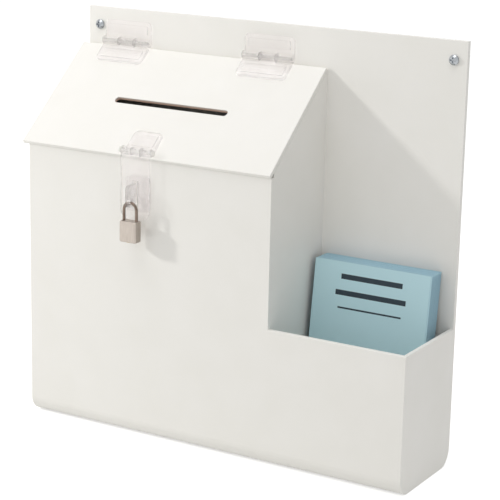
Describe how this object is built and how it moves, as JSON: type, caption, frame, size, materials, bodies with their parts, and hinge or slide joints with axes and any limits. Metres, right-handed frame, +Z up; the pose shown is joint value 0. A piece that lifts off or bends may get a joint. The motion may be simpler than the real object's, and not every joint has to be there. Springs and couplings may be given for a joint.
{
  "type": "wall-mounted donation box",
  "caption": "White acrylic wall box with a sloped hinged lid, paper slot, clear hasp and padlock, and an open side pocket of cards",
  "frame": {"origin": "centre of the flat underside, on the surface that the box can stand on", "axes": "+X to the right seen from the front, +Y to the wall, +Z up"},
  "size_m": [0.355, 0.1322, 0.34],
  "materials": {
    "white_acrylic": "polished white acrylic sheet",
    "clear_plastic": "clear moulded plastic",
    "pin_rod": "natural nylon rod",
    "satin_nickel": "satin nickel plate",
    "bright_chrome": "bright chrome plate",
    "plug_brass": "turned brass",
    "blue_card": "light blue card"
  },
  "bodies": {
    "box": {"bent_shell": "white_acrylic", "left_side_panel": "white_acrylic", "divider_panel": "white_acrylic", "pocket_side_panel": "white_acrylic", "left_hinge_back_leaf": "clear_plastic", "right_hinge_back_leaf": "clear_plastic", "left_hinge_pin": "pin_rod", "right_hinge_pin": "pin_rod", "staple": "clear_plastic", "wall_screws": "bright_chrome"},
    "lid": {"lid": "white_acrylic", "left_hinge_lid_leaf": "clear_plastic", "right_hinge_lid_leaf": "clear_plastic", "hasp_plate": "clear_plastic", "hasp_pin": "pin_rod"},
    "strap": {"hasp_strap": "clear_plastic"},
    "shackle": {"padlock_shackle": "bright_chrome"},
    "padlock": {"padlock_body": "satin_nickel"},
    "key_plug": {"padlock_key_plug": "plug_brass"},
    "cards": {"comment_cards": "blue_card"}
  },
  "joints": [
    {"name": "lid_hinge", "type": "hinge", "parent": "box", "child": "lid", "pos_m": [-0.0655, 0.0367, 0.31279], "axis": [-1, 0, 0], "range_deg": [0, 135]},
    {"name": "hasp_hinge", "type": "hinge", "parent": "lid", "child": "strap", "pos_m": [-0.0655, -0.048, 0.24072], "axis": [-1, 0, 0], "range_deg": [0, 180]},
    {"name": "padlock_swing", "type": "hinge", "parent": "box", "child": "shackle", "pos_m": [-0.0655, -0.0567, 0.2016], "axis": [-1, 0, 0], "range_deg": [0, 80]},
    {"name": "shackle_release", "type": "slide", "parent": "shackle", "child": "padlock", "axis": [0, 0, -1], "range_m": [0, 0.006]},
    {"name": "key_turn", "type": "hinge", "parent": "padlock", "child": "key_plug", "pos_m": [-0.0655, -0.0567, 0.173], "axis": [0, 0, 1], "range_deg": [0, 90]},
    {"name": "cards_lift", "type": "slide", "parent": "box", "child": "cards", "axis": [0, 0, 1], "range_m": [0, 0.16]}
  ]
}
